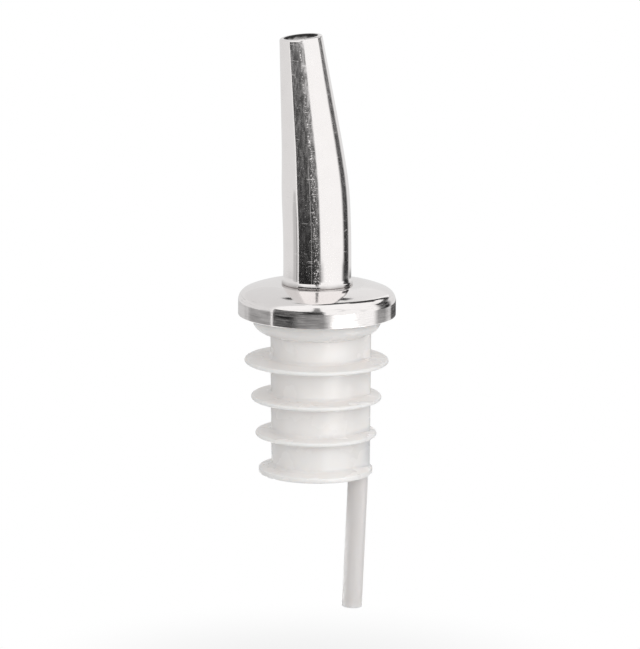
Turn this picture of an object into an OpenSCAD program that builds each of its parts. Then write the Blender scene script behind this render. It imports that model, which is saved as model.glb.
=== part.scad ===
// Free-flow bottle pourer: a bent metal spout on a pressed collar, joined by a stem to a finned
// plastic stopper that carries a breather tube.
// Z = 0 is the plane where the stopper's head seats on the bottle's lip, on the stopper's axis.
// +Z runs up to the spout, the spout leans to -X, and the breather is on the +X side.

/* [Stopper] */
// Radius of the head that seats on the bottle's lip
head_r = 11.3; // [10.4:0.1:12]
// Height of the head above the lip
head_h = 7.1; // [5.5:0.1:9]
// Radius of the rounded lower edge of the head
head_edge_r = 2.8; // [1.5:0.1:4]
// Radius of the body just under the head
body_top_r = 8.05; // [7.6:0.05:9]
// Radius of the body at its lower end
body_end_r = 7.7; // [7.3:0.05:8.5]
// How far the rim of each fin stands out from the body, from the top one down
fin_out = [4.55, 3.45, 2.75, 2.2]; // [1.5:0.05:5]
// Depth of the first fin's rim below the lip
fin_depth = 4.9; // [3.5:0.1:7]
// Distance from one fin to the next
fin_pitch = 6.47; // [5:0.01:8]
// Thickness of a fin at its rim
fin_rim_t = 0.75; // [0.3:0.05:0.9]
// Thickness of a fin where it leaves the body
fin_root_t = 1.2; // [0.9:0.1:2]
// Thickness of the lowest fin's rim, which enters the neck first
end_rim_t = 0.9; // [0.6:0.1:1.5]
// Radius of the fillets between fins and body
fin_fillet_r = 0.6; // [0.2:0.1:1]
// Length of the inlet below the stem
inlet_l = 6.85; // [3:0.05:12]
// How much wider the inlet is than the stem's bore, so that liquid drains back past no lip
inlet_step = 0.3; // [0.2:0.05:0.5]

/* [Collar] */
// Gap between the stopper's head and the collar's skirt
skirt_gap = 1.7; // [0.5:0.1:3]
// Height of the collar, from the skirt's edge to the land under the spout
collar_h = 5.44; // [4:0.02:7]
// Thickness of the pressed sheet
sheet_t = 0.7; // [0.5:0.05:1]
// Inside radius of the fold between top and skirt
collar_fold_r = 0.4; // [0.2:0.05:1]
// Radius of the gentle dome of the top
dome_r = 14; // [12:1:40]
// Flat land round the spout's bead
land_margin = 0.8; // [0.4:0.05:1.5]

/* [Spout] */
// Outer radius of the straight lower part
spout_r = 5.9; // [5.4:0.05:6.3]
// Outer radius at the tip
tip_r = 3.7; // [3.2:0.05:4.8]
// Length along the spout's axis, from foot to tip
spout_l = 43.3; // [32:0.1:60]
// Distance along the axis from the foot to the start of the bend
bend_start = 2.4; // [1:0.1:6]
// Length of the bend along the axis
bend_l = 24; // [12:1:32]
// Angle that the spout turns through in the bend
bend_angle = 6.3; // [0.5:0.1:25]
// Distance along the axis from the foot to the start of the taper
taper_start = 16.4; // [10:0.1:25]
// Wall of the straight lower part
spout_wall_t = 1.15; // [1:0.05:1.8]
// Wall round the outlet at the tip
tip_wall_t = 0.85; // [0.5:0.05:1.2]
// Length of the outlet, where the tip is drawn in
outlet_l = 3; // [2:0.1:6]
// How far the bead at the foot stands out from the spout
bead_out = 0.3; // [0.1:0.05:0.6]
// Height of the bead at the foot
bead_h = 0.5; // [0.35:0.05:1]
// Radius of the hollow curve by which the wall flares out into the bead
flare_r = 1; // [0.8:0.1:2]

/* [Stem] */
// Wall of the spout round the stem's spigot
foot_wall_t = 0.9; // [0.6:0.05:0.95]
// Wall of the stem
stem_wall_t = 0.7; // [0.4:0.05:1.2]
// Length of the spigot's socket in the spout
spigot_l = 5; // [3:0.1:8]
// Thickness of the flange under the collar
flange_t = 0.9; // [0.6:0.1:1.5]

/* [Breather] */
// Outer radius of the breather tube
tube_r = 1.75; // [1.4:0.05:2]
// Wall of the breather tube
tube_wall_t = 0.6; // [0.3:0.05:0.9]
// Length of the tube below the stopper
tube_l = 24.2; // [10:0.1:80]
// Angle that the free end of the tube leans towards the axis
tube_lean = 2.1; // [0.5:0.1:6]
// Depth of the tube's socket in the stopper
socket_l = 8; // [4:0.1:14]
// Web between the tube's socket and the stem's bore
socket_web_t = 0.61; // [0.4:0.01:1]
// Thin outer wall of the boss round the socket
boss_wall_t = 0.26; // [0.2:0.01:0.5]
// Radius of the air passage above the socket
air_r = 1; // [0.5:0.05:1.3]
// Depth of the air slot across the top of the head
slot_d = 1.4; // [0.8:0.1:2.5]

/* [Fits] */
// Radial clearance round the stem
stem_clear = 0.05; // [0.02:0.01:0.1]
// Radial clearance round the breather tube
tube_clear = 0.04; // [0.02:0.01:0.08]
// Gap left at the ends of the stem and of the tube
end_gap = 0.3; // [0.2:0.05:1]

/* [Hidden] */
$fn = 96;
// How far a cutting solid runs past a face
over = 0.2;
// Straight steps in a small fillet, and in a larger curve
fillet_steps = 4;
curve_steps = 10;
// Sides of the swept spout and breather tube, and steps in their bends
spout_sides = 48;
tube_sides = 32;
bend_steps = 12;
tube_bend_steps = 4;
// Rounding of small moulded and cut edges, and of the spout's lip
edge_round = 0.15;
lip_round = 0.3;
// How far the passage steps in where the outlet begins
outlet_step = 0.25;
// How far the flanks of the breather's boss are let into the body
flank_sink = 0.2;
// Margin between the flange's edge and the edge of the flat land
flange_margin = 0.2;
// Length of tube over which its free end leans over
tube_bend_l = 3;
// Width of the taper at the stem's leading end
lead_in = 0.3;

// Stem and the bores that take it
hole_r = spout_r - foot_wall_t;
stem_r = hole_r - stem_clear;
stem_bore_r = stem_r - stem_wall_t;
inlet_r = stem_bore_r + inlet_step;
// Heights along the stopper's axis
last_fin = len(fin_out) - 1;
body_l = fin_depth + last_fin * fin_pitch + end_rim_t / 2;
land_z = head_h + flange_t + sheet_t;
skirt_z = land_z - collar_h;
shoulder_z = inlet_l - body_l;
socket_top_z = socket_l - body_l;
// Collar
land_r = spout_r + bead_out + land_margin;
flange_r = land_r - flange_margin;
collar_r = head_r + skirt_gap + sheet_t;
// Passage and bend of the spout
passage_r = spout_r - spout_wall_t;
outlet_r = tip_r - tip_wall_t;
bend_end = bend_start + bend_l;
bend_r = bend_l / (bend_angle * PI / 180);
// Breather
socket_r = tube_r + tube_clear;
boss_r = socket_r + boss_wall_t;
tube_x = hole_r + socket_web_t + socket_r;
tube_bend_r = tube_bend_l / (tube_lean * PI / 180);

// Points of an arc in the profile plane, from one angle to another
function arc(centre, r, from, to, steps) =
    [for (i = [0 : steps]) let (a = from + (to - from) * i / steps)
        centre + r * [cos(a), sin(a)]];

// Radius of the stopper's body at a height
function body_r(z) = body_top_r + (body_end_r - body_top_r) * -z / body_l;

// Outline of one thin fin, from the body above it, round its rim, to the body below it
function fin_outline(out, z) =
    let (root_r = body_r(z) + fin_fillet_r, half = fin_root_t / 2)
    concat(
        arc([root_r, z + half + fin_fillet_r], fin_fillet_r, 180, 270, fillet_steps),
        arc([body_r(z) + out - fin_rim_t / 2, z], fin_rim_t / 2, 90, -90, fillet_steps),
        arc([root_r, z - half - fin_fillet_r], fin_fillet_r, 90, 180, fillet_steps));

// Outline of the lowest fin, whose flat underside closes the stopper
function end_fin_outline(out) =
    let (root_r = body_end_r + fin_fillet_r, edge_r = body_end_r + out - edge_round)
    let (root_z = end_rim_t + fin_root_t - fin_rim_t - body_l)
    concat(
        arc([root_r, root_z + fin_fillet_r], fin_fillet_r, 180, 270, fillet_steps),
        arc([edge_r, end_rim_t - body_l - edge_round], edge_round, 90, 0, fillet_steps),
        arc([edge_r, edge_round - body_l], edge_round, 0, -90, fillet_steps));

// Section of the breather's boss: a round end with two flat flanks that run into the body
module boss_section() {
    flank_r = body_end_r - flank_sink;
    turn = acos((flank_r - boss_r) / tube_x);
    polygon(concat(
        [flank_r * [cos(turn), -sin(turn)]],
        arc([tube_x, 0], boss_r, -turn, turn, curve_steps),
        [flank_r * [cos(turn), sin(turn)]]));
}

module stopper() {
    // The rounded edge stops at the body
    edge_r = min(head_edge_r, head_r - body_top_r);
    outline = concat(
        [[inlet_r, head_h]],
        arc([head_r - edge_round, head_h - edge_round], edge_round, 90, 0, fillet_steps),
        arc([head_r - edge_r, edge_r], edge_r, 0, -90, curve_steps),
        [[body_top_r, 0]],
        [for (i = [0 : last_fin - 1]) each fin_outline(fin_out[i], -fin_depth - i * fin_pitch)],
        end_fin_outline(fin_out[last_fin]),
        [[inlet_r, -body_l]]);
    color("whitesmoke") difference() {
        union() {
            rotate_extrude() polygon(outline);
            translate([0, 0, end_rim_t / 2 - body_l]) linear_extrude(body_l) boss_section();
        }
        translate([0, 0, shoulder_z]) cylinder(r = hole_r, h = head_h - shoulder_z + over);
        translate([tube_x, 0, -body_l - over]) cylinder(r = socket_r, h = socket_l + over);
        translate([tube_x, 0, socket_top_z - over])
            cylinder(r = air_r, h = head_h - socket_top_z + 2 * over);
        translate([tube_x, -air_r, head_h - slot_d])
            cube([head_r - tube_x + over, 2 * air_r, slot_d + over]);
    }
}

module collar() {
    edge_r = collar_fold_r + sheet_t;
    dome_c = [land_r, land_z - dome_r];
    // The rounded edge touches the dome from inside and runs into the skirt
    edge_x = collar_r - edge_r;
    edge_c = [edge_x, dome_c[1] + sqrt(pow(dome_r - edge_r, 2) - pow(edge_x - land_r, 2))];
    meet = atan2(edge_c[1] - dome_c[1], edge_c[0] - dome_c[0]);
    outline = concat(
        [[hole_r, land_z]],
        arc(dome_c, dome_r, 90, meet, curve_steps),
        arc(edge_c, edge_r, meet, 0, curve_steps),
        arc([collar_r - edge_round, skirt_z + edge_round], edge_round, 0, -90, fillet_steps),
        [[collar_r - sheet_t, skirt_z]],
        arc(edge_c, collar_fold_r, 0, meet, fillet_steps),
        arc(dome_c, dome_r - sheet_t, meet, 90, curve_steps),
        [[hole_r, land_z - sheet_t]]);
    color("silver") rotate_extrude() polygon(outline);
}

// Solid swept through rings, each of which is [centre, lean towards -X, radius], with n sides
module sweep(rings, n) {
    last = len(rings) - 1;
    points = [for (ring = rings, i = [0 : n - 1])
        let (a = ring[1], turn = 360 * i / n)
        ring[0] + ring[2] * [cos(turn) * cos(a), sin(turn), cos(turn) * sin(a)]];
    sides = [for (k = [0 : last - 1], i = [0 : n - 1], half = [0, 1])
        let (j = (i + 1) % n, low = k * n, high = low + n)
        half == 0 ? [low + i, high + i, high + j] : [low + i, high + j, low + j]];
    polyhedron(points, concat(sides,
        [[for (i = [0 : n - 1]) i], [for (i = [n - 1 : -1 : 0]) last * n + i]]));
}

// Lean of the spout's axis, a point on it, and a ring round it, at a distance s from the foot
function lean(s) = bend_angle * min(max((s - bend_start) / bend_l, 0), 1);
function axis_point(s) =
    let (a = lean(s), past = max(s - bend_end, 0))
    [-bend_r * (1 - cos(a)) - past * sin(a), 0,
        land_z + min(s, bend_start) + bend_r * sin(a) + past * cos(a)];
function spout_ring(s, r) = [axis_point(s), lean(s), r];

// Share of the taper reached at s, outer radius there, and radius of the passage there
function taper(s, end) = max((s - taper_start) / (end - taper_start), 0);
function outer_r(s) = spout_r + (tip_r - spout_r) * taper(s, spout_l);
function inner_r(s) =
    passage_r + (outlet_r + outlet_step - passage_r) * taper(s, spout_l - outlet_l);

module spout() {
    bend_stations = [for (i = [0 : bend_steps]) bend_start + bend_l * i / bend_steps];
    lip_s = spout_l - lip_round;
    outlet_s = spout_l - outlet_l;
    // The bead's two rounded edges, then the flare that runs up into the wall
    bead_edge_r = spout_r + bead_out - edge_round;
    flare_turn = acos(1 - bead_out / (flare_r + edge_round));
    foot_l = bead_h - edge_round + (flare_r + edge_round) * sin(flare_turn);
    // The upper edge stops one step short, where the flare takes over
    short_turn = flare_turn * (fillet_steps - 1) / fillet_steps;
    foot_arcs = concat(
        arc([bead_edge_r, edge_round], edge_round, -90, 0, fillet_steps),
        arc([bead_edge_r, bead_h - edge_round], edge_round, 0, short_turn, fillet_steps - 1),
        arc([spout_r + flare_r, foot_l], flare_r, 180 + flare_turn, 180, fillet_steps));
    outer_stations = [for (s = bend_stations) if (s > foot_l && s < lip_s) s];
    inner_stations = concat([spigot_l - over],
        [for (s = bend_stations) if (s > spigot_l && s < outlet_s) s], [outlet_s]);
    lip_arc = arc([outer_r(lip_s) - lip_round, lip_s], lip_round, 0, 90, fillet_steps);
    color("silver") difference() {
        sweep(concat([for (p = foot_arcs) spout_ring(p[1], p[0])],
            [for (s = outer_stations) spout_ring(s, outer_r(s))],
            [for (p = lip_arc) spout_ring(p[1], p[0])]), spout_sides);
        sweep([for (s = inner_stations) spout_ring(s, inner_r(s))], spout_sides);
        translate([0, 0, land_z - over]) cylinder(r = hole_r, h = spigot_l + over);
        translate(axis_point(spout_l)) rotate([0, -lean(spout_l), 0])
            translate([0, 0, -outlet_l - over]) cylinder(r = outlet_r, h = outlet_l + 2 * over);
    }
}

module stem() {
    end_z = shoulder_z + end_gap;
    top_z = land_z + spigot_l - end_gap;
    color("gainsboro") rotate_extrude() polygon([
        [stem_bore_r, end_z], [stem_r - lead_in, end_z], [stem_r, end_z + 2 * lead_in],
        [stem_r, head_h], [flange_r, head_h], [flange_r, land_z - sheet_t], [stem_r, land_z - sheet_t],
        [stem_r, top_z], [stem_bore_r, top_z]]);
}

// Lean of the breather tube, and a point on its axis, at a distance d below the stopper's end
function tube_angle(d) = -tube_lean * min(max(d / tube_bend_l, 0), 1);
function tube_point(d) =
    let (a = tube_angle(d), past = max(d - tube_bend_l, 0))
    [tube_x - tube_bend_r * (1 - cos(a)) + past * sin(a), 0,
        -body_l - min(d, 0) + tube_bend_r * sin(a) - past * cos(a)];

// Round core of the breather tube from its free end up, run past both ends by a margin
module tube_core(r, margin) {
    bend_stations = [for (i = [tube_bend_steps : -1 : 0]) tube_bend_l * i / tube_bend_steps];
    stations = concat([tube_l + margin], bend_stations, [end_gap - socket_l - margin]);
    sweep([for (d = stations) [tube_point(d), tube_angle(d), r]], tube_sides);
}

module breather_tube() {
    color("lightgray") difference() {
        tube_core(tube_r, 0);
        tube_core(tube_r - tube_wall_t, over);
    }
}

stopper();
collar();
spout();
stem();
breather_tube();
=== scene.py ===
import math

import bmesh
import bpy
from mathutils import Matrix, Vector


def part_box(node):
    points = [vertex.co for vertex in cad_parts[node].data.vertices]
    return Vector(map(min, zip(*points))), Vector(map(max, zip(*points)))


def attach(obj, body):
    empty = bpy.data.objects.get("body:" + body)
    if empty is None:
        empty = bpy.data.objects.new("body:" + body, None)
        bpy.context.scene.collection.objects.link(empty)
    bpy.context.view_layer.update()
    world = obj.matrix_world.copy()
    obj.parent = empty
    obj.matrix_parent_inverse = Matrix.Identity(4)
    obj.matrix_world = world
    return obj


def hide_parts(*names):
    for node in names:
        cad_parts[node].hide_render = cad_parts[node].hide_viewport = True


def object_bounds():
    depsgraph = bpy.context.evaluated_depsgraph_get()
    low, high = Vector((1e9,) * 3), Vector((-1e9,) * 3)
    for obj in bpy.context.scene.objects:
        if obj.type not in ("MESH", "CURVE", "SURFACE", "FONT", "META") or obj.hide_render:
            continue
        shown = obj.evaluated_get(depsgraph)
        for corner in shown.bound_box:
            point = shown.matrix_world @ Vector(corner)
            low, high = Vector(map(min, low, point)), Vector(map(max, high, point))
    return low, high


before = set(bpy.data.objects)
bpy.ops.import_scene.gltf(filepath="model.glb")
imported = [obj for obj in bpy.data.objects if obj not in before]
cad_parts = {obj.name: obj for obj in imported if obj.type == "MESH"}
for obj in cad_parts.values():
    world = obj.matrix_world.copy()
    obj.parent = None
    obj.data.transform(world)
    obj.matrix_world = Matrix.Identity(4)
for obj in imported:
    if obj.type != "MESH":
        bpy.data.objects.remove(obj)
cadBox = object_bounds()
mm = 0.001                                # sizes below are in millimetres
print("frame loaded:", ", ".join(sorted(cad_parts)))


class Value:                              # a shader socket that takes part in sums
    def __init__(self, look, socket):
        self.look = look
        self.socket = socket

    def out(self, name):                  # another output of the same node
        return Value(self.look, self.socket.node.outputs[name])

    def maths(self, operation, *others):
        return self.look.maths(operation, self, *others)

    def __add__(self, other):
        return self.maths("ADD", other)

    def __sub__(self, other):
        return self.maths("SUBTRACT", other)

    def __rsub__(self, other):
        return self.look.maths("SUBTRACT", other, self)

    def __mul__(self, other):
        return self.maths("MULTIPLY", other)

    def __truediv__(self, other):
        return self.maths("DIVIDE", other)

    __radd__ = __add__
    __rmul__ = __mul__


class Look:                               # one node tree: a finish, a card or the studio's sky
    def __init__(self, owner):
        owner.use_nodes = True
        self.tree = owner.node_tree
        self.tree.nodes.clear()

    def add(self, kind, settings, sockets, output=0):
        made = self.tree.nodes.new(kind)
        for key, setting in settings.items():
            setattr(made, key, setting)
        for key, given in sockets.items():
            if isinstance(given, Value):
                self.tree.links.new(given.socket, made.inputs[key])
            else:
                made.inputs[key].default_value = given
        return Value(self, made.outputs[output])

    def maths(self, operation, *terms):
        return self.add("ShaderNodeMath", {"operation": operation}, dict(enumerate(terms)))

    def mixColours(self, share, first, second):
        return self.add("ShaderNodeMix", {"data_type": "RGBA"}, {0: share, 6: first, 7: second}, 2)

    def noise(self, place, perMm, detail=2.0):
        return self.add("ShaderNodeTexNoise", {},
                        {"Vector": place, "Scale": perMm / mm, "Detail": detail})

    def stretch(self, place, factors):
        return self.add("ShaderNodeVectorMath", {"operation": "MULTIPLY"}, {0: place, 1: factors})

    def ease(self, value, start, end):    # 0 before start, 1 after end, smooth between
        return self.add("ShaderNodeMapRange", {"interpolation_type": "SMOOTHSTEP"},
                        {"Value": value, "From Min": start, "From Max": end})

    def band(self, value, start, end, soft):          # 1 between start and end, with soft edges
        return self.ease(value, start, start + soft) * (1 - self.ease(value, end - soft, end))

    def relief(self, microns):            # bump from a height in thousandths of a millimetre
        return self.add("ShaderNodeBump", {},
                        {"Strength": 1.0, "Distance": mm * mm, "Height": microns}, "Normal")

    def place(self, kind="Object"):       # place on the piece, in metres
        return self.add("ShaderNodeTexCoord", {}, {}, kind)

    def split(self, place):
        first = self.add("ShaderNodeSeparateXYZ", {}, {0: place})
        return first, first.out("Y"), first.out("Z")

    def surface(self, sockets):
        return self.add("ShaderNodeBsdfPrincipled", {}, sockets)

    def mixShaders(self, share, first, second):
        return self.add("ShaderNodeMixShader", {}, {0: share, 1: first, 2: second})

    def show(self, shader, target="ShaderNodeOutputMaterial"):
        end = self.tree.nodes.new(target)
        self.tree.links.new(shader.socket, end.inputs["Surface"])


def grey(level):
    return (level, level, level, 1.0)


def arc(centre, radius, start, end, steps):
    turns = [math.radians(start + (end - start) * i / steps) for i in range(steps + 1)]
    return [(centre[0] + radius * math.cos(t), centre[1] + radius * math.sin(t)) for t in turns]


def evenTurns(count):
    return [2 * math.pi * i / count for i in range(count)]


# a skin through rings of (centre, lean in degrees, radius or a function of the turn); the last
# ring joins the first, so each piece is closed, bore and all; rings from insideFrom on take the
# piece's second finish
def ringSkin(rings, turns, insideFrom=math.inf):
    skin = bmesh.new()
    loops = []
    for centre, lean, radius in rings:
        tilt = math.radians(lean)
        loop = []
        for turn in turns:
            reach = radius(turn) if callable(radius) else radius
            across = reach * math.cos(turn)
            spot = Vector((across * math.cos(tilt), reach * math.sin(turn), across * math.sin(tilt)))
            loop.append(skin.verts.new((centre + spot) * mm))
        loops.append(loop)
    count = len(turns)
    for k, low in enumerate(loops):
        high = loops[(k + 1) % len(loops)]
        for i in range(count):
            j = (i + 1) % count
            face = skin.faces.new((low[i], low[j], high[j], high[i]))
            face.material_index = int(k >= insideFrom)
    bmesh.ops.recalc_face_normals(skin, faces=skin.faces)
    return skin


def flatRings(outline):
    return [(Vector((0, 0, z)), 0, r) for r, z in outline]


def addObject(name, skin):
    mesh = bpy.data.meshes.new(name)
    skin.to_mesh(mesh)
    skin.free()
    made = bpy.data.objects.new(name, mesh)
    bpy.context.scene.collection.objects.link(made)
    return made


# makes the object, shades it smooth up to corners of so many degrees, sets it on its body and hides the
# part it stands for
def makePiece(name, skin, finishes, node, body, corner=32):
    for face in skin.faces:
        face.smooth = True
    for edge in skin.edges:
        edge.smooth = edge.calc_face_angle(0) < math.radians(corner)
    piece = addObject(name, skin)
    for finish in finishes:
        piece.data.materials.append(finish)
    level = piece.modifiers.new("evenNormals", "WEIGHTED_NORMAL")
    level.keep_sharp = True
    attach(piece, body)
    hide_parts(node)
    print("made", name, "with", len(piece.data.polygons), "faces")


# camera, as the photograph was taken
cameraSet = {
    "elevation": 11.5,                    # degrees above the horizon
    "roll": 0.5,                          # degrees; the part's top leans to the right
    "distance": 1000,
    "sensor": 36,
    "pixelsPerMm": 5.76,                  # at the part
    "frameWide": 640,
    "frameHigh": 649,
    "knownPoint": (0, 0, 3.3),            # on the stopper's axis
    "knownPixel": (316.9, 313.6),         # where the photograph shows it
}


def makeCamera(s):
    rise, roll = math.radians(s["elevation"]), math.radians(s["roll"])
    back = Vector((0, -math.cos(rise), math.sin(rise)))
    level, upright = Vector((1, 0, 0)), Vector((0, math.sin(rise), math.cos(rise)))
    right = level * math.cos(roll) + upright * math.sin(roll)
    up = upright * math.cos(roll) - level * math.sin(roll)
    offRight = (s["frameWide"] / 2 - s["knownPixel"][0]) / s["pixelsPerMm"]
    offDown = (s["frameHigh"] / 2 - s["knownPixel"][1]) / s["pixelsPerMm"]
    aim = Vector(s["knownPoint"]) + right * offRight - up * offDown
    data = bpy.data.cameras.new("camera")
    data.sensor_fit = "HORIZONTAL"
    data.sensor_width = s["sensor"]
    data.lens = s["sensor"] * s["distance"] * s["pixelsPerMm"] / s["frameWide"]
    camera = bpy.data.objects.new("camera", data)
    bpy.context.scene.collection.objects.link(camera)
    camera.matrix_world = Matrix.Translation((aim + back * s["distance"]) * mm) @ Matrix(
        (right, up, back)).transposed().to_4x4()
    bpy.context.scene.camera = camera
    print("camera: lens", round(data.lens), "mm")


makeCamera(cameraSet)


# bright plating on the spout: drawn along its length, duller towards the tip, pitted down the front
spoutChromeSet = {
    "clean": (0.955, 0.925, 0.915, 1), "dull": (0.90, 0.87, 0.86, 1), "cloudPerMm": 0.35,
    "smooth": 0.045, "hazy": 0.05,              # roughness, and what the clouds add
    "wavePerMm": 0.16, "waveLong": 0.35, "waveMicrons": 14.0,   # slow waviness of the drawn tube
    "drawPerMm": 3.2, "drawLong": 0.02, "drawMicrons": 1.0,     # fine marks along the tube
    "veilFoot": 0.012, "veilTip": 0.22,          # share of the plating that has gone dull
    "mottlePerMm": 2.6, "mottleLong": 0.25, "mottleFrom": 0.36, "mottleTo": 0.70,
    "mottleLeast": 0.5,                         # share of the veil between the mottles
    "scratchPerMm": 2.6, "scratchShort": 0.15, "scratchFrom": 0.67, "scratchTo": 0.73,
    "scratchVeil": 0.3,                         # short marks across the tube
    "pitPerMm": 4.2, "pitMicrons": 7.0, "pitFrom": 0.53, "pitTo": 0.63, "pitVeil": 0.5,
    "fleckFrom": 0.62, "fleckTo": 0.72, "fleckVeil": 0.35,      # stray pits outside the strip
    "pitLeft": -0.13, "pitRight": (0.10, -0.05), "pitSoft": 0.05,   # strip's edges, radians
    "skinMicrons": 0.6,
    "grimeAndShade": (0.16, 0.152, 0.148, 1), "footShadeHigh": 0.9, "footShadeLow": 0.1,   # painted shade in the crease above the foot, mm
    "shoulder": (-0.2, 0.12, 0.5),              # start, peak and end of a duller band, radians
    "shoulderFoot": 0.03, "shoulderTip": 0.34,  # its veil
    "seamAt": -0.162, "seamHalf": 0.014, "seamVeil": 0.7, "seamTop": 0.55, "seamFade": 0.1,
}


def makeSpoutChrome(s, tube, footZ):
    finish = bpy.data.materials.new("spoutChrome")
    look = Look(finish)
    place = look.place()
    x, y, z = look.split(place)
    along = z / mm - footZ                            # mm above the foot
    past = (along - tube["bendStart"]).maths("MAXIMUM", 0.0)
    bent = past.maths("MINIMUM", tube["bendLength"])
    lean = math.radians(tube["bendAngle"])
    shift = bent * bent * (lean / tube["bendLength"] / 2) + (past - bent) * math.sin(lean)
    around = (x / mm + shift).maths("ARCTAN2", y / -mm)
    share = along / tube["length"]

    def footToTip(foot, tip):             # changes evenly along the tube
        return share * (tip - foot) + foot

    strip = look.band(around, s["pitLeft"], footToTip(*s["pitRight"]), s["pitSoft"])
    offSeam = (around - s["seamAt"]).maths("ABSOLUTE")
    seam = (1 - look.ease(offSeam, 0.0, s["seamHalf"])) * (
        1 - look.ease(share, s["seamTop"] - s["seamFade"], s["seamTop"]))
    waves = look.noise(look.stretch(place, (1.0, 1.0, s["waveLong"])), s["wavePerMm"], detail=1.0)
    draw = look.noise(look.stretch(place, (1.0, 1.0, s["drawLong"])), s["drawPerMm"])
    across = look.stretch(place, (s["scratchShort"], s["scratchShort"], 1.0))
    scratched = look.noise(across, s["scratchPerMm"], detail=1.0)
    scratch = look.ease(scratched, s["scratchFrom"], s["scratchTo"])
    mottled = look.noise(look.stretch(place, (1.0, 1.0, s["mottleLong"])), s["mottlePerMm"], detail=5.0)
    mottle = look.ease(mottled, s["mottleFrom"], s["mottleTo"])
    pits = look.noise(place, s["pitPerMm"], detail=3.0)
    flecks = look.ease(pits, s["pitFrom"], s["pitTo"]) * strip
    strays = look.ease(pits, s["fleckFrom"], s["fleckTo"])
    cloud = look.noise(place, s["cloudPerMm"], detail=4.0)
    # painted shade: the plating darkens towards the foot, in the crease where it sits on the collar
    dirtAndShade = (1 - look.ease(along, s["footShadeLow"], s["footShadeHigh"])) * cloud
    patchy = mottle + s["mottleLeast"]
    start, peak, end = s["shoulder"]
    shoulder = look.ease(around, start, peak) * (1 - look.ease(around, peak, end))
    veil = footToTip(s["veilFoot"], s["veilTip"]) * patchy
    veil = veil + flecks * s["pitVeil"] + strays * s["fleckVeil"]
    veil = veil + shoulder * footToTip(s["shoulderFoot"], s["shoulderTip"]) * patchy
    veil = veil + seam * draw * s["seamVeil"] + scratch * s["scratchVeil"]
    plate = look.mixColours(cloud, s["clean"], s["dull"])
    microns = waves * s["waveMicrons"] + draw * s["drawMicrons"]
    microns = microns + pits * (strip * s["pitMicrons"] + s["skinMicrons"])
    look.show(look.surface({
        "Base Color": look.mixColours(dirtAndShade, plate, s["grimeAndShade"]),
        "Metallic": 1 - veil.maths("MINIMUM", 1.0),
        "Roughness": cloud * s["hazy"] + s["smooth"], "Normal": look.relief(microns)}))
    return finish


# inside of the spout: bare metal, darker at the mouth
boreMetalSet = {"bare": (0.74, 0.72, 0.71, 1), "mouthDark": (0.02, 0.019, 0.018, 1),
                "deep": 0.55, "soft": 0.25,                                # mm from the tip
                "raggedPerMm": 0.9, "ragged": 1.2, "raggedMean": 0.5,      # the dark band's uneven edge
                "shine": 0.4, "smooth": 0.28, "hazy": 0.25}


def makeBoreMetal(s, tipPoint, tipAxis):
    finish = bpy.data.materials.new("boreMetal")
    look = Look(finish)
    place = look.place()
    above = look.add("ShaderNodeVectorMath", {"operation": "SUBTRACT"}, {0: place, 1: tipPoint * mm})
    height = look.add("ShaderNodeVectorMath", {"operation": "DOT_PRODUCT"},
                      {0: above, 1: tipAxis}, "Value")
    edge = look.noise(place, s["raggedPerMm"], detail=4.0)
    depth = (edge - s["raggedMean"]) * s["ragged"] - height / mm
    darkened = 1 - look.ease(depth, s["deep"] - s["soft"], s["deep"] + s["soft"])
    look.show(look.surface({
        "Base Color": look.mixColours(darkened, s["bare"], s["mouthDark"]),
        "Metallic": (1 - darkened) * s["shine"],
        "Roughness": edge * s["hazy"] + s["smooth"]}))
    return finish


# the same plating on the pressed collar, with streaks and turning marks that run round it
collarChromeSet = {
    "clean": (0.955, 0.925, 0.915, 1), "dull": (0.88, 0.85, 0.84, 1), "cloudPerMm": 0.3,
    "smooth": 0.06, "hazy": 0.08,
    "ringPerMm": 5.0, "ringMicrons": 1.2, "streakLong": 16,
    "veil": 0.01, "streakVeil": 0.16, "streakFrom": 0.47, "streakTo": 0.62,
    "bandPerMm": 0.7, "bandLong": 5, "bandVeil": 0.10, "bandFrom": 0.4, "bandTo": 0.65,
    "grimeAndShade": (0.13, 0.124, 0.12, 1), "grimeShare": 0.28, "grimeFrom": 0.36, "grimeTo": 0.46,
    "skirtFrom": 0.75, "skirtTo": 0.15,         # mm in from the skirt, where its streaks begin
    "pitPerMm": 3.0, "pitMicrons": 2.0,
}


def makeCollarChrome(s, radius):
    finish = bpy.data.materials.new("collarChrome")
    look = Look(finish)
    place = look.place()
    x, y, z = look.split(place)
    reach = (x * x + y * y).maths("SQRT")
    around = x.maths("ARCTAN2", y * -1)
    spun = look.add("ShaderNodeCombineXYZ", {}, {0: reach, 1: z, 2: around * (radius * mm)})
    rings = look.noise(look.stretch(spun, (1.0, 1.0, 1 / s["streakLong"])), s["ringPerMm"], detail=5.0)
    bands = look.noise(look.stretch(spun, (1.0, 1.0, 1 / s["bandLong"])), s["bandPerMm"], detail=3.0)
    broad = look.ease(bands, s["bandFrom"], s["bandTo"])
    skirt = look.ease(reach, (radius - s["skirtFrom"]) * mm, (radius - s["skirtTo"]) * mm)
    veil = look.ease(rings, s["streakFrom"], s["streakTo"]) * s["streakVeil"]
    veil = (veil + broad * s["bandVeil"]) * skirt + s["veil"]
    dirtAndShade = (1 - look.ease(rings, s["grimeFrom"], s["grimeTo"])) * (1 - broad) * skirt * s["grimeShare"]
    pits = look.noise(place, s["pitPerMm"])
    cloud = look.noise(place, s["cloudPerMm"], detail=4.0)
    plate = look.mixColours(cloud, s["clean"], s["dull"])
    look.show(look.surface({
        "Base Color": look.mixColours(dirtAndShade, plate, s["grimeAndShade"]),
        "Metallic": 1 - veil,
        "Roughness": cloud * s["hazy"] + s["smooth"],
        "Normal": look.relief(rings * s["ringMicrons"] + pits * s["pitMicrons"])}))
    return finish


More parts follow.
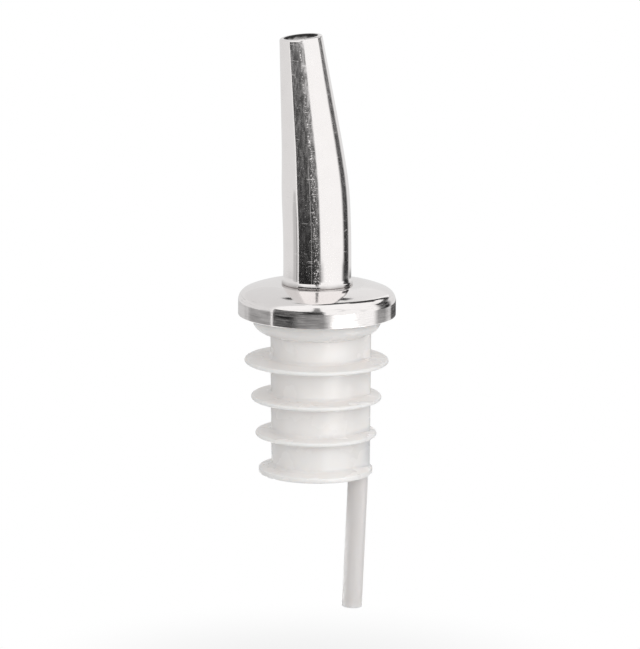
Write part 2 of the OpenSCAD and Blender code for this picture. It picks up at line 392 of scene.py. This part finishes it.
# plain drawn steel of the stem
stemSteelSet = {"light": (0.70, 0.69, 0.68, 1), "dark": (0.58, 0.57, 0.56, 1), "cloudPerMm": 0.4,
                "smooth": 0.22, "hazy": 0.2, "drawMicrons": 2.5, "drawPerMm": 4.0, "drawLong": 0.03}


def makeStemSteel(s):
    finish = bpy.data.materials.new("stemSteel")
    look = Look(finish)
    place = look.place()
    draw = look.noise(look.stretch(place, (1.0, 1.0, s["drawLong"])), s["drawPerMm"], detail=3.0)
    cloud = look.noise(place, s["cloudPerMm"], detail=3.0)
    look.show(look.surface({
        "Base Color": look.mixColours(cloud, s["light"], s["dark"]),
        "Metallic": 1.0, "Roughness": draw * s["hazy"] + s["smooth"],
        "Normal": look.relief(draw * s["drawMicrons"])}))
    return finish


# milky soft plastic of the stopper
stopperPlasticSet = {"pale": (0.955, 0.918, 0.90, 1), "deep": (0.92, 0.883, 0.865, 1),
                     "cloudPerMm": 0.12, "cloudShare": 0.6, "flowPerMm": 0.9, "flowLong": 0.06,
                     "smooth": 0.22, "hazy": 0.1, "skinMicrons": 0.4, "skinPerMm": 2.5,
                     "flowMicrons": 2.0,
                     "glow": 1.0, "glowReach": (1.0, 0.95, 0.9), "glowScale": 0.8}


def makeStopperPlastic(s):
    finish = bpy.data.materials.new("milkyPlastic")
    look = Look(finish)
    place = look.place()
    cloud = look.noise(place, s["cloudPerMm"], detail=3.0)
    flow = look.noise(look.stretch(place, (1.0, 1.0, s["flowLong"])), s["flowPerMm"])
    skin = look.noise(place, s["skinPerMm"], detail=3.0)
    mottle = cloud * s["cloudShare"] + flow * (1 - s["cloudShare"])
    look.show(look.surface({
        "Base Color": look.mixColours(mottle, s["pale"], s["deep"]),
        "Roughness": cloud * s["hazy"] + s["smooth"],
        "Subsurface Weight": s["glow"], "Subsurface Radius": s["glowReach"],
        "Subsurface Scale": s["glowScale"] * mm,
        "Normal": look.relief(skin * s["skinMicrons"] + flow * s["flowMicrons"])}))
    return finish


# cloudy extruded plastic of the breather tube
tubePlasticSet = {"pale": (0.85, 0.82, 0.805, 1), "deep": (0.77, 0.74, 0.725, 1),
                  # painted light: the tube turns lighter over its last mm towards the cut end
                  "cut": (0.95, 0.93, 0.92, 1), "endLightDeep": 1.3, "endLightShare": 0.7,
                  "cloudPerMm": 0.4, "cloudLong": 0.3, "drawPerMm": 3.0, "drawLong": 0.02,
                  "drawMicrons": 2.0, "smooth": 0.24, "hazy": 0.18,
                  "glow": 1.0, "glowReach": (1.0, 0.95, 0.9), "glowScale": 0.8, "clear": 0.06}


def makeTubePlastic(s, endZ):
    finish = bpy.data.materials.new("cloudyTube")
    look = Look(finish)
    place = look.place()
    cloud = look.noise(look.stretch(place, (1.0, 1.0, s["cloudLong"])), s["cloudPerMm"], detail=3.0)
    draw = look.noise(look.stretch(place, (1.0, 1.0, s["drawLong"])), s["drawPerMm"])
    above = look.split(place)[2] / mm - endZ          # mm above the cut end, near which painted light lightens the tube
    endLight = (1 - look.ease(above, 0.0, s["endLightDeep"])) * s["endLightShare"]
    milk = look.mixColours(cloud, s["pale"], s["deep"])
    look.show(look.surface({
        "Base Color": look.mixColours(endLight, milk, s["cut"]),
        "Roughness": draw * s["hazy"] + s["smooth"], "Transmission Weight": s["clear"],
        "Subsurface Weight": s["glow"], "Subsurface Radius": s["glowReach"],
        "Subsurface Scale": s["glowScale"] * mm,
        "Normal": look.relief(draw * s["drawMicrons"])}))
    return finish


# spout: a drawn tube, bent and tapered, flared into a bead at its foot
spoutSet = {
    "radius": 5.9, "tipRadius": 3.7, "length": 43.3,
    "bendStart": 2.4, "bendLength": 24, "bendAngle": 6.3,
    "taperStart": 16.4, "taperEase": 3.0,
    "socketRadius": 5.0, "socketLength": 5.0,         # takes the stem
    "passage": 4.75, "outlet": 2.85, "outletLength": 3.0, "outletStep": 0.25,
    "beadOut": 0.3, "beadHigh": 0.5, "beadRound": 0.15, "flare": 1.0, "lip": 0.3,
    "lipFrom": 15,                        # degrees, where the lip takes over from the sloping wall
    "around": 144, "wallSteps": 110, "boreSteps": 40,
    "beadSteps": 5, "flareSteps": 10, "lipSteps": 6, "edgeSteps": 4,
}


def makeSpout(s):
    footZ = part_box("spout")[0].z / mm
    bendRadius = s["bendLength"] / math.radians(s["bendAngle"])

    def leanAt(along):
        return s["bendAngle"] * min(max((along - s["bendStart"]) / s["bendLength"], 0), 1)

    def ringAt(along, radius):
        lean = math.radians(leanAt(along))
        past = max(along - s["bendStart"] - s["bendLength"], 0)
        x = -bendRadius * (1 - math.cos(lean)) - past * math.sin(lean)
        z = min(along, s["bendStart"]) + bendRadius * math.sin(lean) + past * math.cos(lean)
        return Vector((x, 0, footZ + z)), leanAt(along), radius

    def tapered(along, wide, narrow, end):            # straight, then an even taper, eased in
        slope = (narrow - wide) / (end - s["taperStart"])
        past, ease = along - s["taperStart"], s["taperEase"]
        if past > ease:
            return wide + slope * past
        return wide + slope * max(past + ease, 0) ** 2 / (4 * ease)

    length, lip, bead, flare = s["length"], s["lip"], s["beadRound"], s["flare"]
    beadR, beadTop = s["radius"] + s["beadOut"] - bead, s["beadHigh"] - bead
    flareTurn = math.acos(1 - s["beadOut"] / (flare + bead))
    wallStart, wallEnd = beadTop + (flare + bead) * math.sin(flareTurn), length - lip
    outline = [(s["socketRadius"], 0)]
    turned = math.degrees(flareTurn)
    outline += arc((beadR, bead), bead, -90, 0, s["beadSteps"])
    outline += arc((beadR, beadTop), bead, 0, turned, s["edgeSteps"])[:-1]
    outline += arc((s["radius"] + flare, wallStart), flare, 180 + turned, 180, s["flareSteps"])[:-1]
    for i in range(s["wallSteps"] + 1):
        along = wallStart + (wallEnd - wallStart) * i / s["wallSteps"]
        outline.append((tapered(along, s["radius"], s["tipRadius"], length), along))
    edgeR = tapered(wallEnd, s["radius"], s["tipRadius"], length) - lip
    outline += arc((edgeR, wallEnd), lip, s["lipFrom"], 90, s["lipSteps"])
    insideFrom = len(outline)
    inner = s["outlet"] + lip / 2                     # the cut edge is broken inside too
    outline += arc((inner, length - lip / 2), lip / 2, 90, 180, s["edgeSteps"])
    boreEnd = length - s["outletLength"]
    outline.append((s["outlet"], boreEnd))
    for i in range(s["boreSteps"] + 1):
        along = boreEnd + (s["socketLength"] - boreEnd) * i / s["boreSteps"]
        outline.append((tapered(along, s["passage"], s["outlet"] + s["outletStep"], boreEnd), along))
    outline.append((s["socketRadius"], s["socketLength"]))
    skin = ringSkin([ringAt(z, r) for r, z in outline], evenTurns(s["around"]), insideFrom)
    chrome = makeSpoutChrome(spoutChromeSet, s, footZ)
    tipLean = math.radians(s["bendAngle"])
    bare = makeBoreMetal(boreMetalSet, ringAt(length, 0)[0],
                         Vector((-math.sin(tipLean), 0, math.cos(tipLean))))
    makePiece("spoutTube", skin, [chrome, bare], "spout", "jet")


# collar: a pressed cap, gently domed, folded over into a skirt
collarSet = {
    "hole": 5.0, "land": 7.0, "dome": 14.0, "sheet": 0.7, "fold": 1.3, "edge": 0.15,
    "around": 192, "domeSteps": 24, "foldSteps": 16, "innerSteps": 8, "edgeSteps": 5,
}


def makeCollar(s):
    low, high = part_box("collar")
    radius, landZ, skirtZ = high.x / mm, high.z / mm, low.z / mm
    outerFold = s["fold"] + s["sheet"]
    domeC = (s["land"], landZ - s["dome"])
    foldX = radius - outerFold
    foldZ = domeC[1] + math.sqrt((s["dome"] - outerFold) ** 2 - (foldX - s["land"]) ** 2)
    meet = math.degrees(math.atan2(foldZ - domeC[1], foldX - domeC[0]))
    outline = [(s["hole"], landZ)]
    outline += arc(domeC, s["dome"], 90, meet, s["domeSteps"])
    outline += arc((foldX, foldZ), outerFold, meet, 0, s["foldSteps"])[1:]
    edge, edgeZ = s["edge"], skirtZ + s["edge"]
    outline += arc((radius - edge, edgeZ), edge, 0, -90, s["edgeSteps"])
    outline += arc((radius - s["sheet"] + edge, edgeZ), edge, -90, -180, s["edgeSteps"])
    outline += arc((foldX, foldZ), s["fold"], 0, meet, s["innerSteps"])
    outline += arc(domeC, s["dome"] - s["sheet"], meet, 90, s["domeSteps"])[1:]
    outline.append((s["hole"], landZ - s["sheet"]))
    skin = ringSkin(flatRings(outline), evenTurns(s["around"]))
    chrome = makeCollarChrome(collarChromeSet, radius)
    makePiece("collarCap", skin, [chrome], "collar", "collar")


# stem: a plain tube whose flange holds the collar against the spout
stemSet = {"radius": 4.95, "bore": 4.25, "sheet": 0.7, "around": 128,
           "leadIn": (0.3, 0.6), "topEdge": (0.15, 0.3)}      # chamfers at its ends: across, along


def makeStem(s):
    low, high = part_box("stem")
    flangeR, endZ, topZ = high.x / mm, low.z / mm, high.z / mm
    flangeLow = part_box("stopper")[1].z / mm
    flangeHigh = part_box("collar")[1].z / mm - s["sheet"]
    radius, (leadIn, leadLong), (topIn, topLong) = s["radius"], s["leadIn"], s["topEdge"]
    outline = [(s["bore"], endZ), (radius - leadIn, endZ), (radius, endZ + leadLong),
               (radius, flangeLow), (flangeR, flangeLow), (flangeR, flangeHigh), (radius, flangeHigh),
               (radius, topZ - topLong), (radius - topIn, topZ), (s["bore"], topZ)]
    skin = ringSkin(flatRings(outline), evenTurns(s["around"]))
    makePiece("stemTube", skin, [makeStemSteel(stemSteelSet)], "stem", "jet")


# breather tube, shared with its socket in the stopper
breatherSet = {
    "x": 7.4, "radius": 1.75, "bore": 1.15, "free": 24.2, "lean": 2.1, "bendLength": 3.0,
    "rim": 0.12, "rimFrom": 20,           # rounding of the cut end, from so many degrees on
    "around": 64, "bendSteps": 8, "freeSteps": 12, "rimSteps": 4,
}

# stopper: a moulded plug with four fins and a flanked boss for the breather
stopperSet = {
    "headEdge": 2.8, "headR": 11.3, "bodyTop": 8.05, "bodyEnd": 7.7,
    "finOut": (4.55, 3.45, 2.75, 2.2), "finDepth": 4.9, "finPitch": 6.47,
    "finRim": 0.75, "finRoot": 1.2, "endRim": 0.9, "fillet": 0.6, "edge": 0.15,
    "holeR": 5.0, "inletR": 4.55, "inletLength": 6.85,
    "bossR": 2.05, "flankSink": 0.2, "bossEase": 0.6, "socketR": 1.79, "socketLength": 8.0,
    "airR": 1.0, "slotHalf": 0.97, "slotDeep": 1.4,   # a shade narrower than the hole it runs into
    "cutOver": 0.5,                       # how far the cuts run past the faces they open
    "around": 168, "crowding": 0.55,      # points round it, drawn towards the boss
    "headSteps": 18, "finSteps": 8, "edgeSteps": 4,
}


def cutAway(skin, cutters):               # takes the cutters' solids out of a skin
    blank = addObject("blank", skin)
    tools = [addObject("cutter", cutter) for cutter in cutters]
    for tool in tools:
        cut = blank.modifiers.new("cut", "BOOLEAN")
        cut.operation = "DIFFERENCE"
        cut.solver = "EXACT"
        cut.object = tool
    bpy.context.view_layer.update()
    done = bmesh.new()
    done.from_object(blank, bpy.context.evaluated_depsgraph_get())
    for spare in [blank] + tools:
        bpy.data.objects.remove(spare)
    return done


def roundCutter(x, radius, low, high, around=48):
    cutter = bmesh.new()
    bmesh.ops.create_cone(cutter, cap_ends=True, segments=around, radius1=radius * mm,
                          radius2=radius * mm, depth=(high - low) * mm)
    bmesh.ops.translate(cutter, verts=cutter.verts, vec=(x * mm, 0, (low + high) / 2 * mm))
    return cutter


def boxCutter(lowCorner, highCorner):
    cutter = bmesh.new()
    bmesh.ops.create_cube(cutter, size=1)
    size = [(b - a) * mm for a, b in zip(lowCorner, highCorner)]
    middle = [(a + b) / 2 * mm for a, b in zip(lowCorner, highCorner)]
    bmesh.ops.scale(cutter, verts=cutter.verts, vec=size)
    bmesh.ops.translate(cutter, verts=cutter.verts, vec=middle)
    return cutter


def makeStopper(s, tube):
    low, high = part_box("stopper")
    endZ, headZ = low.z / mm, high.z / mm
    bossLow = endZ + s["endRim"] / 2
    bossR, flankR = s["bossR"], s["bodyEnd"] - s["flankSink"]
    flankTurn = math.acos((flankR - bossR) / tube["x"])
    roundTurn = math.atan2(bossR * math.sin(flankTurn), tube["x"] + bossR * math.cos(flankTurn))

    def bodyAt(z):
        return s["bodyTop"] + (s["bodyEnd"] - s["bodyTop"]) * z / endZ

    def bossAt(turn):                     # round end, then a flat flank, then inside the body
        if turn < roundTurn:
            aside = tube["x"] * math.sin(turn)
            return tube["x"] * math.cos(turn) + math.sqrt(bossR ** 2 - aside ** 2)
        if turn < flankTurn:
            return flankR / math.cos(flankTurn - turn)
        return flankR * math.cos(min(turn - flankTurn, math.pi / 2))

    def withBoss(radius, z):              # the body swells out smoothly round the breather's socket
        if z < bossLow or z > s["headEdge"]:
            return radius

        def reach(turn):
            boss = bossAt(abs(math.remainder(turn, 2 * math.pi)))
            blend = max(s["bossEase"] - abs(boss - radius), 0) / s["bossEase"]
            return max(boss, radius) + blend ** 2 * s["bossEase"] / 4
        return reach

    edge, fillet, rim = s["edge"], s["fillet"], s["finRim"] / 2
    edgeSteps, finSteps = s["edgeSteps"], s["finSteps"]
    headEdge = min(s["headEdge"], s["headR"] - s["bodyTop"])
    outline = arc((s["headR"] - edge, headZ - edge), edge, 90, 0, edgeSteps)
    outline += arc((s["headR"] - headEdge, headEdge), headEdge, 0, -90, s["headSteps"])
    outline.append((s["bodyTop"], 0))
    for i, out in enumerate(s["finOut"][:-1]):
        z = -s["finDepth"] - i * s["finPitch"]
        rootR, half = bodyAt(z) + fillet, s["finRoot"] / 2
        outline += arc((rootR, z + half + fillet), fillet, 180, 270, finSteps)
        outline += arc((bodyAt(z) + out - rim, z), rim, 90, -90, finSteps)
        outline += arc((rootR, z - half - fillet), fillet, 90, 180, finSteps)
    endEdgeR = s["bodyEnd"] + s["finOut"][-1] - edge
    rootZ = endZ + s["endRim"] + s["finRoot"] - s["finRim"]
    outline += arc((s["bodyEnd"] + fillet, rootZ + fillet), fillet, 180, 270, finSteps)
    outline += arc((endEdgeR, endZ + s["endRim"] - edge), edge, 90, 0, edgeSteps)
    outline += arc((endEdgeR, endZ + edge), edge, 0, -90, edgeSteps)
    shoulderZ = endZ + s["inletLength"]
    bore = [(s["inletR"], endZ), (s["inletR"], shoulderZ),
            (s["holeR"], shoulderZ), (s["holeR"], headZ)]
    rings = [(Vector((0, 0, z)), 0, withBoss(r, z)) for r, z in outline] + flatRings(bore)
    turns = [t - s["crowding"] * math.sin(t) for t in evenTurns(s["around"])]
    over, socketTop = s["cutOver"], endZ + s["socketLength"]
    skin = cutAway(ringSkin(rings, turns), [
        roundCutter(tube["x"], s["socketR"], endZ - over, socketTop),
        roundCutter(tube["x"], s["airR"], socketTop - over, headZ + over),
        boxCutter((tube["x"], -s["slotHalf"], headZ - s["slotDeep"]),
                  (s["headR"] + over, s["slotHalf"], headZ + over))])
    plastic = makeStopperPlastic(stopperPlasticSet)
    makePiece("stopperPlug", skin, [plastic], "stopper", "stopper")


def makeBreather(s):
    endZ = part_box("stopper")[0].z / mm
    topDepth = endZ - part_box("breather_tube")[1].z / mm      # above the stopper's end, so negative
    bendRadius = s["bendLength"] / math.radians(s["lean"])

    def ringAt(depth, radius):
        lean = -s["lean"] * min(max(depth / s["bendLength"], 0), 1)
        tilt, past = math.radians(lean), max(depth - s["bendLength"], 0)
        x = s["x"] - bendRadius * (1 - math.cos(tilt)) + past * math.sin(tilt)
        z = endZ - min(depth, 0) + bendRadius * math.sin(tilt) - past * math.cos(tilt)
        return Vector((x, 0, z)), lean, radius

    bend = [s["bendLength"] * i / s["bendSteps"] for i in range(s["bendSteps"] + 1)]
    straight = (s["free"] - s["rim"] - s["bendLength"]) / s["freeSteps"]
    stations = bend + [s["bendLength"] + straight * (i + 1) for i in range(s["freeSteps"])]
    radius, rim, rimDepth = s["radius"], s["rim"], s["free"] - s["rim"]
    rings = [(topDepth, s["bore"]), (topDepth, radius - rim), (topDepth + rim, radius)]
    rings += [(depth, radius) for depth in stations]
    edge = arc((radius - rim, rimDepth), rim, s["rimFrom"], 90, s["rimSteps"])
    edge += arc((s["bore"] + rim, rimDepth), rim, 90, 180, s["rimSteps"])
    rings += [(depth, r) for r, depth in edge]
    rings += [(depth, s["bore"]) for depth in reversed(stations[:-1])]
    skin = ringSkin([ringAt(depth, r) for depth, r in rings], evenTurns(s["around"]))
    plastic = makeTubePlastic(tubePlasticSet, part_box("breather_tube")[0].z / mm)
    makePiece("breatherPipe", skin, [plastic], "breather_tube", "breather")


makeSpout(spoutSet)
makeCollar(collarSet)
makeStem(stemSet)
makeStopper(stopperSet, breatherSet)
makeBreather(breatherSet)


# pale floor below the part, with room for the breather to slide out
floorSet = {"below": 14, "radius": 320, "around": 96, "white": 0.78, "paint": 0.6,
            "plainFrom": 15, "plainTo": 60}


def backdropRays(look):                   # 1 for rays that should see the white background
    path = look.add("ShaderNodeLightPath", {}, {}, "Is Camera Ray")
    seen = path.maths("MAXIMUM", path.out("Is Glossy Ray"))
    return seen.maths("MAXIMUM", path.out("Is Transmission Ray"))


def makeFloor(s):
    disc = bmesh.new()
    bmesh.ops.create_circle(disc, cap_ends=True, segments=s["around"], radius=s["radius"] * mm)
    floor = addObject("floor", disc)
    floor.location.z = cadBox[0].z - s["below"] * mm
    paint = bpy.data.materials.new("floorPaint")
    look = Look(paint)
    x, y = look.split(look.place())[:2]
    away = (x * x + y * y).maths("SQRT")
    plain = look.ease(away, s["plainFrom"] * mm, s["plainTo"] * mm)
    share = backdropRays(look) * (plain * (1 - s["white"]) + s["white"])
    matt = look.add("ShaderNodeBsdfDiffuse", {}, {"Color": grey(s["paint"])})
    white = look.add("ShaderNodeEmission", {}, {"Color": grey(1.0), "Strength": 1.0})
    look.show(look.mixShaders(share, matt, white))
    floor.data.materials.append(paint)
    print("floor", s["below"], "mm below the part")


makeFloor(floorSet)


# soft lamps that light the plastic, and cards that show only as reflections in the pieces
lampSet = {
    "key": {"at": (420, -420, 330), "size": 420, "watts": 0.9},
    "front": {"at": (60, -650, 80), "size": 420, "watts": 1.0},
    "top": {"at": (60, -60, 700), "size": 500, "watts": 0.4},
}
cardSet = {
    "ring": 150, "gap": 1.5,              # mm from the axis to the first card, and on to each next
    "step": 3,                            # degrees between a card's folds
    # low edge's ends in degrees round from the camera, + on its right, and the high edge's where they
    # differ; low and high in mm; brightness; softness of its sides in degrees and of its ends in mm;
    # distances of the low and high edges from the axis where they differ from the ring
    "cards": [
        {"low": (-64, -10), "z": (-23, 58), "level": 0.012, "soft": (1.5, 4)},
        {"low": (-20, 14), "z": (-23, 58), "level": 0.012, "soft": (7, 1.5)},
        {"low": (-9, 9), "z": (50, 90), "level": 0.012, "soft": (3, 20)},
        {"low": (-8, 8), "z": (72, 260), "level": 0.16, "soft": (5, 18)},
        {"low": (-76, -69), "high": (-70, -69), "z": (-23, -5), "level": 0.3, "soft": (1, 2)},
        {"low": (-96, -66), "high": (-80, -66), "z": (-23, 2), "level": 0.52, "soft": (12, 3)},
        {"low": (-186, -66), "z": (-23, 58), "level": 0.76, "soft": (2, 4)},
        {"low": (92, 137), "z": (-23, 60), "level": 0.02, "soft": (14, 4)},
        {"low": (98, 142), "z": (52, 96), "level": 0.03, "soft": (5, 10)},
        {"low": (122, 146), "z": (140, 330), "level": 0.03, "soft": (4, 10)},
        {"low": (128, 186), "z": (-23, 60), "level": 0.78, "soft": (2, 4)},
        {"low": (130, 146), "high": (136, 150), "z": (30, 150), "level": 0.02, "soft": (3, 8)},
        {"low": (129, 151), "high": (136, 178), "z": (142, 335), "level": 0.02, "soft": (4, 8)},
        {"low": (136, 208), "z": (300, 1700), "level": 0.02, "soft": (8, 20)},
        {"low": (164, 196), "z": (162, 205), "level": 0.01, "soft": (2, 4)},
        {"low": (-65.5, -46), "z": (-75, -18), "level": 0.01, "soft": (1, 2)},
        {"low": (-66, -20), "z": (-75, -18), "level": 0.01, "soft": (20, 2)},
        {"low": (-60, 28), "z": (-75, -18), "level": 0.32, "soft": (20, 2)},
        {"low": (-90, -68), "z": (-75, -18), "level": 0.28, "soft": (1.5, 2)},
        {"low": (-134, -62), "z": (-75, -18), "level": 0.28, "soft": (27, 2)},
        {"low": (86, 128), "z": (-75, -18), "level": 0.28, "soft": (14, 2)},
        {"low": (131, 172), "z": (-75, -18), "level": 0.08, "soft": (6, 2)},
        {"low": (14, 64), "z": (-62, -32), "level": 4.0, "soft": (12, 4)},
        {"low": (66, 92), "z": (-62, -34), "level": 4.0, "soft": (8, 4), "reach": (55, 55)},
        {"low": (-165, -58), "z": (-62, -36), "level": 3.2, "soft": (22, 6), "reach": (30, 30)},
        {"low": (-186, -118), "z": (-75, -18), "level": 0.6, "soft": (6, 2)},
        {"low": (118, 186), "z": (-75, -18), "level": 0.65, "soft": (3, 2)},
        {"low": (-66, 20), "z": (-62, -62), "level": 0.04, "soft": (3, 5), "reach": (30, 150)},
        {"low": (-186, -62), "z": (50, 1200), "level": 0.72, "soft": (12, 20)},
        {"low": (155, 186), "z": (50, 300), "level": 0.83, "soft": (4, 20)}],
}
skySet = {"mirror": 1.0, "fill": 0.62}


def makeLamp(name, s):
    data = bpy.data.lights.new(name, "AREA")
    data.size = s["size"] * mm
    data.energy = s["watts"]
    lamp = bpy.data.objects.new(name, data)
    lamp.location = Vector(s["at"]) * mm
    lamp.rotation_euler = (-lamp.location).to_track_quat("-Z", "Y").to_euler()
    lamp.visible_glossy = False           # the metal mirrors the cards instead
    bpy.context.scene.collection.objects.link(lamp)


def makeCard(name, s, card, order):
    edges = [card["low"], card.get("high", card["low"])]
    ring = s["ring"] + s["gap"] * order
    reaches = card.get("reach", (ring, ring))
    wide = card["low"][1] - card["low"][0]
    tall = math.hypot(card["z"][1] - card["z"][0], reaches[1] - reaches[0])
    folds = max(round(wide / s["step"]), 1)
    panel = bmesh.new()
    shares = panel.loops.layers.uv.new("shares")
    last = None
    for i in range(folds + 1):
        pair = []
        for (start, end), z, reach in zip(edges, card["z"], reaches):
            turn = math.radians(start + (end - start) * i / folds)
            foot = Vector((math.sin(turn), -math.cos(turn), 0)) * reach
            pair.append(panel.verts.new((foot + Vector((0, 0, z))) * mm))
        if last:
            face = panel.faces.new((last[0], pair[0], pair[1], last[1]))
            for corner, (across, up) in zip(face.loops, ((i - 1, 0), (i, 0), (i, 1), (i - 1, 1))):
                corner[shares].uv = (across / folds, up)
        last = pair
    board = addObject(name, panel)
    paint = bpy.data.materials.new(name + "Paint")
    look = Look(paint)
    across, up = look.split(look.place("UV"))[:2]
    softAcross, softUp = card["soft"][0] / wide, card["soft"][1] / tall
    there = look.band(across, 0.0, 1.0, softAcross) * look.band(up, 0.0, 1.0, softUp)
    lit = look.add("ShaderNodeEmission", {}, {"Color": grey(1.0), "Strength": card["level"]})
    look.show(look.mixShaders(there, look.add("ShaderNodeBsdfTransparent", {}, {}), lit))
    paint.cycles.emission_sampling = "NONE"           # found by reflected rays alone
    board.data.materials.append(paint)
    board.visible_camera = False
    board.visible_diffuse = False
    board.visible_transmission = False
    board.visible_shadow = False


def makeSky(s):
    world = bpy.data.worlds.new("studio")
    bpy.context.scene.world = world
    look = Look(world)
    fill, mirror = [look.add("ShaderNodeBackground", {}, {"Color": grey(1.0), "Strength": s[key]})
                    for key in ("fill", "mirror")]
    look.show(look.mixShaders(backdropRays(look), fill, mirror), "ShaderNodeOutputWorld")


for lampName, lampValues in lampSet.items():
    makeLamp(lampName + "Lamp", lampValues)
for cardNumber, cardValues in enumerate(cardSet["cards"]):
    makeCard("card" + str(cardNumber), cardSet, cardValues, cardNumber)
makeSky(skySet)
bpy.context.scene.view_settings.view_transform = "Standard"
print("studio:", len(lampSet), "lamps and", len(cardSet["cards"]), "cards")
